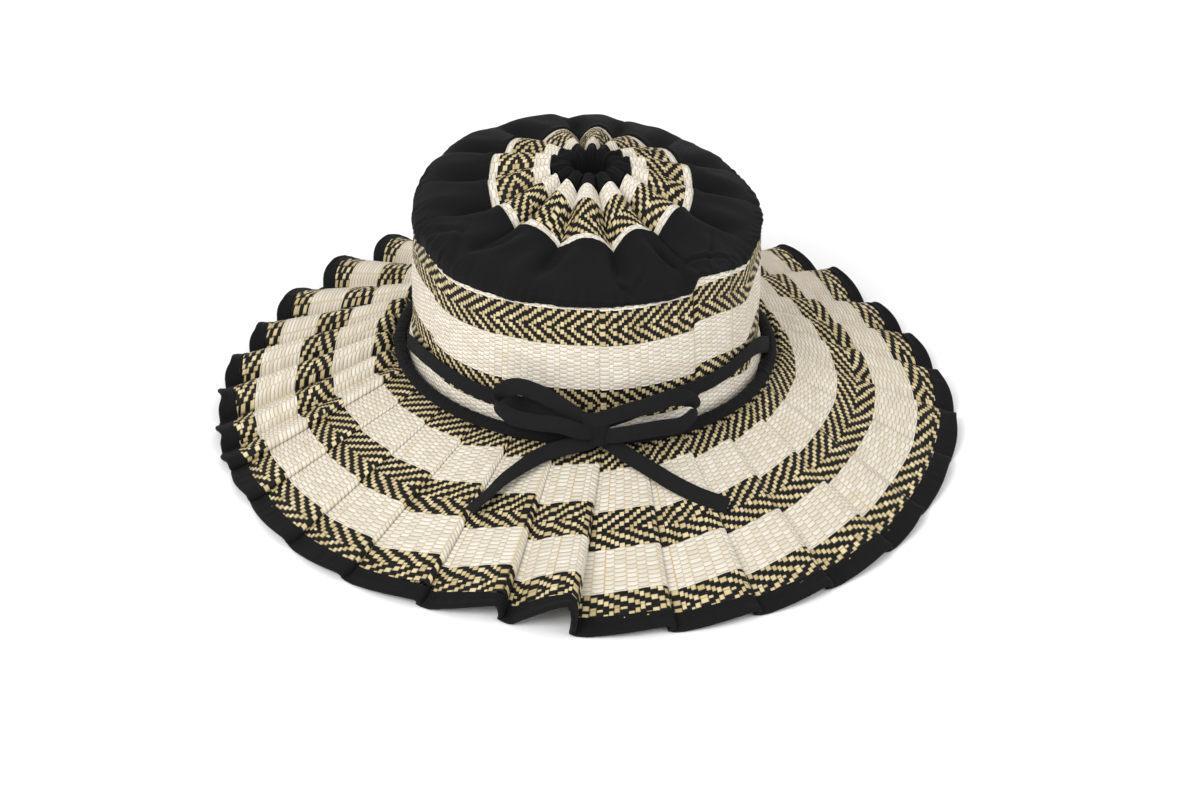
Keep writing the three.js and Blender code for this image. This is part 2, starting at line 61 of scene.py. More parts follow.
# The folds of the brim, anticlockwise from the right: angle of the ridge at the hem and
# at the collar, its height just outside the collar and at the hem, radius of its tip, and
# how far its return runs on. shift: how much further out its bands lie; skew: how much
# nearer the collar they lie at the ridge.
FOLDS = table("hem collar inner rise reach fall shift skew", [
    (-5.6, -0.3, 4.7, 6, 204, 2, 1.5, 2.5),
    (5.7, 9.2, 7.4, 9, 200, 3.5, -0.3, 5),
    (16.9, 18.5, 8.2, 11, 197, 4.5, -2, 6),
    (27.6, 28, 9.5, 13, 195, 5.5, -2, 6),
    (40.9, 41, 9, 15, 200, 6.5, -1.5, 5),
    (52.6, 53, 9.5, 16, 199, 6.5, 0, 3.5),
    (63.5, 64, 10, 16, 201, 6.5, 0, 3.5),
    (74.3, 74.5, 10, 15, 203, 6.5, 0, 3.5),
    (85, 85, 10, 14, 205, 6.5, 0, 3.5),
    (95.7, 95.5, 10, 14, 206, 6.5, 0, 3.5),
    (106.3, 106, 10, 15, 208, 6.5, 0, 3.5),
    (117, 116.5, 10, 16, 210, 6.5, 0, 3.5),
    (127.6, 127.5, 9.5, 16, 211, 6.5, 0, 3.5),
    (139.3, 139.5, 9, 16, 208, 6.5, 0, 3.5),
    (153.2, 153, 10, 15, 203, 6.5, 0, 3.5),
    (163.8, 163.8, 10.3, 14, 201, 6.5, 3, 3.5),
    (174.6, 174.4, 11.3, 14, 202.5, 6.5, 2, 3.5),
    (184.9, 183.5, 10.5, 13, 201.5, 6, 2, 4),
    (194.3, 191.7, 8, 9, 201.5, 3, 2.5, 2),
    (200.5, 198.8, 2.6, 5, 200, 1, 0.8, 2.5),
    (209.8, 210, 1, 4, 199.2, 0.6, 0, 1.5),
    (222.5, 223.2, 1, 3.5, 201, 0.6, -0.6, 2),
    (234.3, 236.5, 1, 3.5, 201.5, 0.6, -1.2, 1.5),
    (246.9, 249, 1, 4, 200.5, 0.6, -2.2, 6),
    (258.8, 262.3, 1, 8.5, 199.5, 1.7, -2.2, 4),
    (269, 275.7, 1, 17, 207.5, 0.6, -0.7, 1.5),
    (282, 287.5, 1, 4.5, 208.5, 1, 1.2, 2),
    (294, 300.5, 1, 4, 209, 1, 0.5, 3.5),
    (305.5, 313.5, 1, 4, 209, 1, 0.5, 3),
    (317.8, 327, 1, 4, 207.5, 1, 0.6, 2),
    (328.1, 340, 1, 4, 204.5, 1, 1.7, 0.5),
    (342.2, 353, 1, 4.5, 203.7, 1, 2, -0.5),
])

# Folds of the rosette: angle of the ridge at the rim and at the inner edge, and how much
# higher than usual its ridge and the valley after it are at the rim.
ROSETTE_FOLDS = table("rim centre ridge dip", [
    (-3, 1, -1, 0),
    (15, 22, 1.5, -1),
    (39, 45, -2, -3),
    (66, 69, -4, -4),
    (86, 88, -2, -4.5),
    (107.6, 110, -2.5, -6),
    (141, 137, 1.5, -1),
    (163, 160, 3.5, 0),
    (185.5, 186, 1.5, 0),
    (212, 214, 2, 1),
    (234, 235, 3, 1),
    (269, 265.5, 2.5, 1),
    (297, 298, 5, 2.5),
    (325, 330, 6, 1.5),
])

# Sections of the crown top: valley height, lift of a ridge, share of each fold's own
# heights, and tilt to the front and side.
SECTION_KEYS = "radius valley lift own fore side"
YOKE_SECTIONS = table(SECTION_KEYS, [
    (91.9, 110.4, 0, 0, 0, -2),
    (92.6, 115.6, 0, 0, 2.5, -3.5),
    (91, 121, 0.8, 0, 7.5, -5),
    (83, 125.6, 2, 0.15, 9.5, -5.5),
    (67, 127.6, 4.2, 0.6, 10, -3.5),
    (54.3, 128.6, 6.5, 1, 9.5, -2),
])
ROSETTE_SECTIONS = table(SECTION_KEYS, [
    (53.8, 128.7, 6.5, 1, 9.5, -2),
    (43, 131.5, 7.5, 0.7, 8, -1.8),
    (32, 135, 8.5, 0.3, 4.5, -1.3),
    (21.5, 139, 7.5, 0, 1.5, -0.7),
])
CENTRE_SECTIONS = table(SECTION_KEYS, [
    (20.6, 139.1, 7.4, 0, 1.5, -0.7),
    (13.6, 144.2, 3.6, 0, 1, -0.4),
    (10, 143, 1.2, 0, 0.3, 0),
    (8.8, 134, 0.6, 0, 0, 0),
])

# Middle lines of the ribbons: angle, radius, height, and lean of the width from upright.
TIE_LEFT = table("turn out up lean", [
    (193, 96.4, 53.4, 6), (201, 95.2, 56, 4), (210, 94.7, 58, 2),
    (220, 94.5, 58, 2), (231, 94.5, 57, 2), (243, 94.8, 56.2, 2),
    (255, 96, 56.2, 2), (263, 99.5, 56, 4), (273.3, 103.9, 54, 6),
])
TIE_RIGHT = table("turn out up lean", [
    (274.6, 103.9, 54, 6), (283, 100, 56, 4), (290, 96.4, 57, 2),
    (300, 94.4, 57, 2), (311, 94.2, 57, 2), (322, 94.2, 57.3, 2),
    (332, 94.4, 57.4, 2), (338, 94.8, 56.4, 4), (344, 95.8, 53.4, 6),
    (349, 96.8, 49, 10), (354, 98.4, 44, 14), (358, 99.4, 40.5, 16),
])
LOOP_LEFT = table("turn out up lean", [
    (272.4, 107.6, 56.4, 0), (270.3, 107.4, 57.6, 2), (263.4, 105.4, 65.6, 12),
    (257, 104, 70.6, 20), (251, 103.9, 72, 20), (247, 106.2, 68, 10),
    (246.8, 110, 63, 0), (251.5, 112.4, 59.6, 10), (257.5, 112.8, 58.6, 14),
    (263.5, 111.9, 57.6, 14), (269.6, 109.8, 52.6, 8), (272.4, 108.6, 51.4, 8),
])
LOOP_RIGHT = table("turn out up lean", [
    (269.6, 108.3, 58, 6), (273.6, 109.3, 59.3, 6), (277.4, 107.9, 60.4, 8),
    (283, 105.2, 60.9, 14), (289, 104.6, 61.6, 18), (295, 104.4, 63.2, 16),
    (299.6, 106.6, 60.6, 6), (300.2, 109.6, 55.5, 0), (295.5, 111.7, 51.4, 8),
    (289, 112, 52.2, 12), (282.8, 111.1, 51.4, 12), (277.6, 109.8, 50, 8),
    (275.4, 108.6, 49.4, 8),
])
TAIL_LEFT = table("turn out up lean", [
    (272.6, 107.3, 45.2, 16), (270.7, 107.6, 44.6, 20), (264, 109.5, 42.4, 35),
    (259, 113, 39.6, 54), (255.2, 120.2, 36.4, 70), (252.2, 128.5, 33.3, 78),
    (250, 138.5, 29.5, 80), (248, 149, 25.3, 78),
])
TAIL_RIGHT = table("turn out up lean", [
    (275.2, 107, 44.2, 16), (277.1, 107.3, 43.2, 20), (281, 111.5, 38.8, 45),
    (285.6, 119.5, 34.6, 55), (289.6, 129.2, 30.8, 54), (293.6, 139, 27.2, 52),
    (298.3, 149.6, 23.4, 50),
])

BRIM_INNER_RADIUS = 97
BRIM_TOP_HEIGHT = 38.5
SIDE_DROP = 3  # the right of the hat lies this much lower than its middle
FOOT_START = 0.95  # share of a panel's path after which it lies on the floor
STRAW_TOP = 2.0  # upper face of the straw above the ground line
STRAW_WALL = 1.6
UNDERSIDE_FLOOR = 0.4  # the straw's lower face stays this high above the floor
TIP_OVERHANG = 2
HEM_BULGE = 2
TIP_ROUND = 3  # how far the top of a tip is rounded back

ROW = 1.18  # one row of the cream weave
HERRINGBONE_ROW = 1.165  # rows of the herringbone, in rows of the cream weave
BRIM_LENGTH = 109  # path along a panel from the collar to the hem
NOSE = 3  # how far the top of a panel rounds over at its ridge
TUCK = 1.6  # how far a flat fold is tucked back under its ridge
WARP_PAIR = 5.1  # room that two warps take across a panel at mid brim
MID_BRIM = 0.65
PANEL_CURVE = 1.6  # how strongly a panel bends up towards its ridge
CREASE_START = 0.8  # how far past a ridge its crease lies at the collar
SEAM_RISE = 0.5  # height of a fold where it goes into the collar
RELIEF = 0.34  # how far a strand stands proud of the weave
STRAND_SWAY = 0.24  # how far strands wander along their row, in strands

# Bands of the brim in weave rows from its inner edge. turn: row where the herringbone
# turns back; point: side that its chevrons point to.
BRIM_BANDS = table("start end turn point", [
    (1, 14, 4, 1), (14, 34, None, 0), (34, 52, 43, -1), (52, 72, None, 0), (72, 86, 79, 1),
])
CROWN_TOP = 120  # height of the first weave row, under the cotton
CROWN_BANDS = table("start end turn point", [
    (0, 10, None, 0), (10, 26, 18, -1), (26, 46, None, 0), (46, 60, 53, 1), (60, 71, None, 0),
])
ROSETTE_BANDS = table("start end turn point", [
    (-1, 4, None, 0), (4, 21, 12, -1), (21, 30, None, 0),
])

COLLAR_TUBE = 3.3
COLLAR_RADIUS = 100.3
COLLAR_HEIGHT = 42.2
COTTON_WALL = 1.2
TAPE_WALL = 1.2

HEM_STITCH = SimpleNamespace(pitch=2.9, length=2.1, radius=0.3)
TAPE_STITCH = SimpleNamespace(pitch=2.2, length=1.5, radius=0.22)
THREAD_RINGS = 5
THREAD_SIDES = 6

low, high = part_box("collar")
AXIS = np.array([(low[0] + high[0]) / 2, (low[1] + high[1]) / 2, 0]) * 1000


# Small sums
def polar(turn, radius, height=None):
    """A place from an angle in degrees and a radius, with a height if one is given."""
    angle = np.radians(turn)
    flat = [radius * np.cos(angle), radius * np.sin(angle)]
    if height is not None:
        flat.append(height + 0 * flat[0])
    return np.stack(np.broadcast_arrays(*flat), -1)


def unit(vectors):
    return vectors / np.maximum(np.linalg.norm(vectors, axis=-1, keepdims=True), 1e-9)


def blend(a, b, share):
    return a + (b - a) * share


def smooth(value, start, end):
    """0 before start, 1 after end, with a soft change between."""
    share = np.clip((value - start) / (end - start), 0, 1)
    return share * share * (3 - 2 * share)


def side_lean(points, drop):
    """Change of height at each point that lowers the hat's right side and lifts its left."""
    x, y = points[..., 0], points[..., 1]
    return -drop * x / np.maximum(np.hypot(x, y), 1e-6)


def from_turn(turn, middle):
    """Signed angle in degrees from a middle, from -180 to 180."""
    return (turn - middle + 180) % 360 - 180


def path_along(points):
    """Distance along a line of points to each of them."""
    steps = np.linalg.norm(np.diff(points, axis=0), axis=1)
    return np.concatenate([[0], np.cumsum(steps)])


def read_along(wanted, path, values):
    """Rows of values, read at wanted distances along the path that they lie on."""
    return np.stack([np.interp(wanted, path, column) for column in values.T], -1)


def catmull(points, count):
    """count points, evenly spread, on a smooth curve through the given ones."""
    points = np.asarray(points, float)
    ends = np.vstack([2 * points[0] - points[1], points, 2 * points[-1] - points[-2]])
    share = np.linspace(0, len(points) - 1, 40 * len(points))
    at = np.minimum(share.astype(int), len(points) - 2)
    t = (share - at)[:, None]
    a, b, c, d = ends[at], ends[at + 1], ends[at + 2], ends[at + 3]
    dense = 0.5 * (2 * b + (c - a) * t + (2 * a - 5 * b + 4 * c - d) * t ** 2
                   + (3 * b - a - 3 * c + d) * t ** 3)
    path = path_along(dense[:, :3])
    return read_along(np.linspace(0, path[-1], count), path, dense)


def ring_noise(turn, lowest, highest, seed):
    """Smooth noise round the hat, with mean 0 and a size of about 1."""
    rng = np.random.default_rng(seed)
    orders = np.arange(lowest, highest + 1)
    phases = rng.uniform(0, 2 * np.pi, len(orders))
    weights = rng.normal(size=len(orders))
    waves = np.cos(np.radians(turn)[..., None] * orders + phases)
    return (waves * weights).sum(-1) / np.sqrt(len(orders) / 2)


# Meshes
def grid_normals(points):
    """Outward normals of a closed grid whose rows run outwards and columns anticlockwise."""
    around = np.roll(points, -1, 1) - np.roll(points, 1, 1)
    across = np.gradient(points, axis=0)
    return unit(np.cross(across, around))


def uv_grid(u, v):
    """Texture places of a grid from those of its columns and of its rows."""
    return np.stack(np.meshgrid(u, v), -1)


def grid(points, uv, period=0.0, finish=0, flip=False):
    """A grid of points with texture places, as one part of a mesh. With a period it closes."""
    return SimpleNamespace(points=points, uv=uv, period=period, finish=finish, flip=flip)


def part_faces(part):
    """Corner numbers and texture places of a grid's four-sided faces."""
    rows, columns = part.points.shape[:2]
    spans = columns if part.period else columns - 1
    i, j = np.meshgrid(np.arange(rows - 1), np.arange(spans), indexing="ij")
    corners = [(0, 0), (1, 0), (1, 1), (0, 1)]
    if part.flip:
        corners.reverse()
    index = []
    places = []
    for down, along in corners:
        column = j + along
        wrapped = column % columns
        index.append((i + down) * columns + wrapped)
        place = part.uv[i + down, wrapped].copy()
        place[..., 0] += part.period * (column >= columns)
        places.append(place)
    return np.stack(index, -1).reshape(-1, 4), np.stack(places, -2).reshape(-1, 4, 2)


def make_piece(name, parts, finishes, replaces=()):
    """One object from several grids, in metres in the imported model's frame."""
    vertices, faces, places, kinds = [], [], [], []
    total = 0
    for part in parts:
        index, uv = part_faces(part)
        vertices.append(part.points.reshape(-1, 3))
        faces.append(index + total)
        places.append(uv)
        kinds.append(np.full(len(index), part.finish))
        total += part.points.shape[0] * part.points.shape[1]
    vertices = (np.concatenate(vertices) + AXIS) / 1000
    faces = np.concatenate(faces)
    mesh = bpy.data.meshes.new(name)
    mesh.vertices.add(len(vertices))
    mesh.vertices.foreach_set("co", vertices.ravel())
    mesh.loops.add(faces.size)
    mesh.loops.foreach_set("vertex_index", faces.ravel())
    mesh.polygons.add(len(faces))
    mesh.polygons.foreach_set("loop_start", np.arange(0, faces.size, 4))
    mesh.polygons.foreach_set("material_index", np.concatenate(kinds))
    mesh.polygons.foreach_set("use_smooth", np.ones(len(faces), bool))
    layer = mesh.uv_layers.new(name="weave")
    layer.uv.foreach_set("vector", np.concatenate(places).ravel())
    mesh.update(calc_edges=True)
    piece = bpy.data.objects.new(name, mesh)
    bpy.context.scene.collection.objects.link(piece)
    for finish in finishes:
        mesh.materials.append(finish)
    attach(piece, "root")
    if replaces:
        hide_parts(*replaces)
    return piece


def stitches(points, normals, stitch):
    """Short rounded threads along a line of points, each lying in its cloth."""
    path = path_along(points)
    starts = np.arange(0, path[-1] - stitch.length, stitch.pitch)
    rings = np.linspace(0, 1, THREAD_RINGS)
    swell = np.sin(np.pi * np.clip(rings, 0.06, 0.94)) ** 0.6
    along = starts[:, None] + rings * stitch.length
    centre = read_along(along, path, points)
    up = unit(read_along(along, path, normals))
    forward = unit(np.gradient(centre, axis=1))
    side = unit(np.cross(up, forward))
    centre = centre + up * (swell[:, None] - 0.75) * stitch.radius
    threads = []
    for angle in np.linspace(0, 2 * np.pi, THREAD_SIDES + 1):
        ring = side * np.cos(angle) + up * np.sin(angle)
        threads.append(centre + ring * (stitch.radius * swell)[:, None])
    threads = np.stack(threads, 2)
    return [grid(thread, np.zeros(thread.shape[:2] + (2,))) for thread in threads]


# Materials. Colours are given as dark and light where a strand varies between them.
NATURAL_STRANDS = (0.46, 0.36, 0.175, 1), (0.69, 0.58, 0.34, 1)
# Painted shade for the gaps round each natural strand.
NATURAL_GAP_SHADE = (0.045, 0.032, 0.018, 1)
# Black strands: painted shade at their edges and painted sheen along their middles.
BLACK_STRAND_SHADE_AND_SHEEN = (0.003, 0.003, 0.003, 1), (0.010, 0.0095, 0.0095, 1)
CREAM_STRANDS = (0.63, 0.595, 0.51), (0.76, 0.74, 0.68)
CREAM_WARP = (0.60, 0.53, 0.40)
WARM_WARP = (0.55, 0.36, 0.16, 1)
# Gaps between cream floats: the straw showing there, deepened with painted shade.
CREAM_GAP_AND_SHADE = (0.40, 0.25, 0.10, 1)
CROWN_TINT = (1, 1, 1)
# The brim's cream is the crown's cream darkened: painted shade.
BRIM_SHADE_TINT = (0.92, 0.905, 0.87)
BLACK_COTTON = (0.0055, 0.0055, 0.006)
BLACK_TAPE = (0.009, 0.009, 0.0095)
# Painted highlight for the tops of the cotton threads.
COTTON_THREAD_HIGHLIGHT = (0.016, 0.016, 0.017, 1)
BLACK_THREAD = (0.006, 0.006, 0.0065, 1), (0.015, 0.015, 0.016, 1)
FLOOR_WHITE = (0.98, 0.98, 0.98, 1), (0.99, 0.99, 0.99, 1)

# Depth of each material's finest relief, in metres.
STRAND_DEPTH = 0.00018
COTTON_DEPTH = 0.00009
THREAD_DEPTH = 0.00008
FLOOR_DEPTH = 0.0001
STRAND_SOFTNESS = 0.3


def math_step(operation):
    """A method that puts one math node behind a value, and gives what comes out of it."""
    return lambda value, *others: value.shader.math(operation, value, *others)


class Value:
    """A number worked out by a material's nodes, which goes into sums as others do."""

    def __init__(self, shader, socket):
        self.shader = shader
        self.socket = socket

    __add__ = math_step("ADD")
    __sub__ = math_step("SUBTRACT")
    __mul__ = math_step("MULTIPLY")
    __mod__ = math_step("FLOORED_MODULO")
    __pow__ = math_step("POWER")
    __gt__ = math_step("GREATER_THAN")
    __lt__ = math_step("LESS_THAN")
    __abs__ = math_step("ABSOLUTE")
    floor = math_step("FLOOR")
    fraction = math_step("FRACT")
    sine = math_step("SINE")
    lower = math_step("MINIMUM")
    higher = math_step("MAXIMUM")
    soft_lower = math_step("SMOOTH_MIN")

    def hump(self):
        """A hump from 0 to 1 over each whole number."""
        return (self.fraction() * math.pi).sine()


class Shader:
    """A principled material and short calls for the nodes that drive it."""

    def __init__(self, name, roughness, sheen=0.0, gloss=0.35):
        self.material = bpy.data.materials.new(name)
        self.material.use_nodes = True
        self.tree = self.material.node_tree
        self.surface = self.tree.nodes["Principled BSDF"]
        values = {"Roughness": roughness, "Sheen Weight": sheen, "Sheen Roughness": 0.45,
                  "Specular IOR Level": gloss}
        for key, value in values.items():
            self.surface.inputs[key].default_value = value

    def put(self, socket, value):
        if isinstance(value, Value):
            self.tree.links.new(value.socket, socket)
        else:
            socket.default_value = value

    def node(self, kind, **values):
        """A new node, with values or links for its named sockets."""
        node = self.tree.nodes.new("ShaderNode" + kind)
        for name, value in values.items():
            self.put(node.inputs[name], value)
        return node

    def math(self, operation, *values):
        node = self.node("Math")
        node.operation = operation
        for socket, value in zip(node.inputs, values):
            self.put(socket, value)
        return Value(self, node.outputs[0])

    def mix(self, factor, a, b):
        node = self.node("Mix")
        node.data_type = "RGBA"
        # A mix node's colours are its sockets 6 and 7, and its mixed colour is output 2.
        for index, value in ((0, factor), (6, a), (7, b)):
            self.put(node.inputs[index], value)
        return Value(self, node.outputs[2])

    def place(self):
        node = self.node("UVMap")
        node.uv_map = "weave"
        split = self.node("SeparateXYZ", Vector=Value(self, node.outputs[0]))
        return Value(self, split.outputs[0]), Value(self, split.outputs[1])

    def join(self, x, y):
        return Value(self, self.node("CombineXYZ", X=x, Y=y).outputs[0])

    def chance(self, x, y):
        """A number from 0 to 1 that is the same over a whole cell."""
        node = self.node("TexWhiteNoise")
        node.noise_dimensions = "2D"
        self.put(node.inputs["Vector"], self.join(x, y))
        return Value(self, node.outputs["Value"])

    def noise(self, place, scale, detail=2.0):
        node = self.node("TexNoise", Scale=scale, Detail=detail, Vector=place)
        return Value(self, node.outputs[0])

    def object_place(self):
        return Value(self, self.node("TexCoord").outputs["Object"])

    def finish(self, color, height, depth):
        bump = self.node("Bump", Strength=1.0, Distance=depth, Height=height)
        self.put(self.surface.inputs["Base Color"], color)
        self.put(self.surface.inputs["Normal"], Value(self, bump.outputs[0]))
        return self.material


def fibres(shader, u, v, along_u):
    """Fine streaks along a strand."""
    stretch = (0.6, 9.0) if along_u else (9.0, 0.6)
    return shader.noise(shader.join(u * stretch[0], v * stretch[1]), 2.0, 1.0)


def herringbone_straw():
    """Black strands over two natural ones, each row a step on from the row before."""
    shader = Shader("straw_herringbone", 0.55, 0.02, 0.15)
    u, v = shader.place()
    row = v.floor()
    moved = u + abs(row)
    lane = moved % 4.0
    over = lane < 2.1
    width = v.hump()
    length = (lane.lower(2.0) * (math.pi / 2)).sine()
    strand = width * length
    # A natural strand shows over two rows; these lines find how far along them it is.
    forward = row > -0.5
    second = abs(lane.floor() + (forward - 3.0))
    along = (second + v.fraction()) * 0.5
    ends = (along * math.pi).sine()
    across = u.hump()
    cell = (across * 1.7).soft_lower(ends * 2.4, STRAND_SOFTNESS)
    cell = cell.lower(1.0).higher(0.0)
    tone = shader.chance(u.floor(), (moved * 0.25).floor())
    natural = shader.mix(tone, *NATURAL_STRANDS)
    # Painted shade darkens the gaps at the sides and ends of each natural strand.
    natural = shader.mix(cell, NATURAL_GAP_SHADE, natural)
    # Each black strand is painted darker at its edges and lighter along its middle: painted
    # shade and sheen.
    black = shader.mix(strand, *BLACK_STRAND_SHADE_AND_SHEEN)
    color = shader.mix(over, natural, black)
    streak = shader.mix(over, fibres(shader, u, v, False), fibres(shader, u, v, True))
    form = shader.mix(over, cell * 0.6, strand)
    return shader.finish(color, form + streak * 0.2, STRAND_DEPTH)


def toned(color, tint):
    """A colour with each of its parts dimmed by the tint's, as a socket takes it."""
    return tuple(part * share for part, share in zip(color, tint)) + (1,)


def cream_straw(name, tint):
    """Pale oval floats in columns, with thin natural warps between them."""
    shader = Shader(name, 0.55, 0.05)
    u, v = shader.place()
    half = u * 0.5
    column = half.floor()
    lift = (v + column) * 0.5
    width = half.hump()
    sag = width * -0.16
    length = (lift + sag).hump()
    oval = width ** 0.4 * length
    tone = shader.chance(column, lift.floor())
    pale = shader.mix(tone, *(toned(strand, tint) for strand in CREAM_STRANDS))
    warm = shader.chance((half + 0.5).floor(), 3.0) > 0.93
    warp = shader.mix(warm, toned(CREAM_WARP, tint), WARM_WARP)
    beside = (width * 2.8).soft_lower(1.0, STRAND_SOFTNESS)
    between = (length * 2.1).soft_lower(1.0, STRAND_SOFTNESS)
    color = shader.mix(beside, warp, pale)
    # The gaps at the ends of each float take that colour: straw seen between floats, deepened
    # with painted shade.
    color = shader.mix(between, CREAM_GAP_AND_SHADE, color)
    height = oval + fibres(shader, u, v, True) * 0.25
    return shader.finish(color, height, STRAND_DEPTH)


def cotton(name, black, weave=0.45):
    """Plain black cotton: fine crossing threads with a grey highlight painted on their tops.
    weave is in mm.
    """
    shader = Shader(name, 0.85, 0.03, 0.08)
    shader.surface.inputs["Sheen Tint"].default_value = (0.75, 0.75, 0.8, 1)
    u, v = shader.place()
    across = (u * (1 / weave)).hump()
    along = (v * (1 / weave)).hump()
    threads = across * along
    fade = shader.noise(shader.object_place(), 60.0, 3.0)
    dark = shader.mix(fade, toned(black, (1, 1, 1)), toned(black, (1.5, 1.5, 1.5)))
    # The tops of the threads are painted a lighter grey: painted highlight.
    color = shader.mix(threads * 0.4, dark, COTTON_THREAD_HIGHLIGHT)
    return shader.finish(color, threads + fade * 0.6, COTTON_DEPTH)


def thread():
    shader = Shader("black_thread", 0.75, 0.03, 0.1)
    twist = shader.noise(shader.object_place(), 900.0, 1.0)
    return shader.finish(shader.mix(twist, *BLACK_THREAD), twist, THREAD_DEPTH)


HERRINGBONE = herringbone_straw()
STRAW = [HERRINGBONE, cream_straw("straw_cream", CROWN_TINT)]
# The brim takes a darker copy of the cream straw: painted shade.
BRIM_STRAW = [HERRINGBONE, cream_straw("straw_brim_cream_shaded", BRIM_SHADE_TINT)]
COTTON = cotton("cotton_black", BLACK_COTTON)
BINDING = cotton("cotton_binding", BLACK_COTTON, 0.55)
TAPE = cotton("cotton_tape", BLACK_TAPE, 0.4)
THREAD = thread()


# Weave
def herringbone_height(u, v):
    shift = np.abs(np.floor(v))
    lane = (u + shift) % 4
    strand = np.sin(np.pi * np.minimum(lane, 2) / 2) * np.sin(np.pi * (v % 1))
    warp = 0.55 * np.abs(np.sin(np.pi * (u % 1)))
    return np.where(lane < 2, strand, warp)


def cream_height(u, v):
    column = np.floor(u / 2)
    oval = np.sin(np.pi * (u / 2 % 1)) * np.sin(np.pi * ((v + column) / 2 % 1))
    return np.abs(oval) ** 0.8


def relief(u, v, rule):
    """Height of the weave at each grid point: the mean of the strands that meet there."""
    step = 0.02
    corners = [rule(u + du, v + dv) for du in (-step, step) for dv in (-step, step)]
    return sum(corners) / 4


def band_rows(band, share):
    """Places along a band, as cream rows and as rows of its own weave, 0 where it turns."""
    places = band.start + (band.end - band.start) * share
    if not band.point:
        return places, places
    before = round((band.turn - band.start) / HERRINGBONE_ROW)
    after = round((band.end - band.turn) / HERRINGBONE_ROW)
    own = np.interp(places, [band.start, band.turn, band.end], [-before, 0, after])
    return places, own


def woven_rows(band):
    """Two places for each row of a band's own weave."""
    dense = np.linspace(0, 1, 400)
    own = band_rows(band, dense)[1]
    steps = np.arange(own[0], own[-1] + 0.25, 0.5)
    share = np.interp(steps, own, dense)
    return band_rows(band, share)[0], steps


def band_part(points, place, period, band, flip=False):
    """A band's grid, with the straw that it is woven of: herringbone where it has a point."""
    period = period * (band.point or 1)
    return grid(points, place, period, 0 if band.point else 1, flip)


def weave(surface, columns, bands):
    """Grids of one woven surface. surface(rows) gives its points."""
    parts = []
    period = columns[-1] + 0.5
    columns = columns + STRAND_SWAY * ring_noise(360 * columns / period, 30, 120, 5)
    for band in bands:
        rows, own = woven_rows(band)
        points = surface(rows)
        place = uv_grid(columns * (band.point or 1), own)
        rule = herringbone_height if band.point else cream_height
        height = relief(place[..., 0], place[..., 1], rule)
        points = points + grid_normals(points) * (RELIEF * height)[..., None]
        parts.append(band_part(points, place, period, band))
    return parts


def lining(surface, columns, bands, wall):
    """The plain inner side of a woven surface, a wall's thickness behind it."""
    parts = []
    for band in bands:
        rows, own = band_rows(band, np.linspace(0, 1, 5))
        points = surface(rows)
        points = points - grid_normals(points) * wall
        place = uv_grid(columns[::2] * (band.point or 1), own)
        parts.append(band_part(points[:, ::2], place, columns[-1] + 0.5, band, flip=True))
    return parts


# Brim
def ridge_line(k, s):
    """The top of fold k, at shares of the brim's length. Fold -1 is the last one."""
    fold = FOLDS[k]
    start = polar(fold.collar, BRIM_INNER_RADIUS)
    return start + (polar(fold.hem, fold.reach) - start) * s[..., None]


def valley_line(k, s):
    fold = FOLDS[k]
    past = math.degrees(CREASE_START / BRIM_INNER_RADIUS)
    start = polar(fold.collar + past, BRIM_INNER_RADIUS)
    tip_turn = fold.hem + math.degrees(fold.fall / fold.reach)
    return start + (polar(tip_turn, fold.reach - TIP_OVERHANG) - start) * s[..., None]


def tuck_share(k):
    """1 for a flat fold whose return is tucked under it, 0 for a standing pleat."""
    return float(np.clip((3 - FOLDS[k].fall) / 1.5, 0, 1))


def run_on(k, s, tucked=True):
    """How far the crease behind a ridge lies beyond it."""
    fold = FOLDS[k]
    share = tuck_share(k)
    open_fold = blend(CREASE_START, fold.fall, s)
    return blend(open_fold, -TUCK if tucked else 0.2, share)


def crease_line(k, s, tucked=True):
    ridge = ridge_line(k, s)
    forward = unit(ridge - valley_line(k - 1, s))
    overhang = unit(ridge) * TIP_OVERHANG * s[..., None]
    return ridge + forward * run_on(k, s, tucked)[..., None] - overhang


def fold_rise(k, s):
    fold = FOLDS[k]
    opened = blend(fold.inner, fold.rise, np.clip(s, 0, 1) ** PANEL_CURVE)
    return blend(SEAM_RISE, opened, smooth(s, 0.045, 0.105))


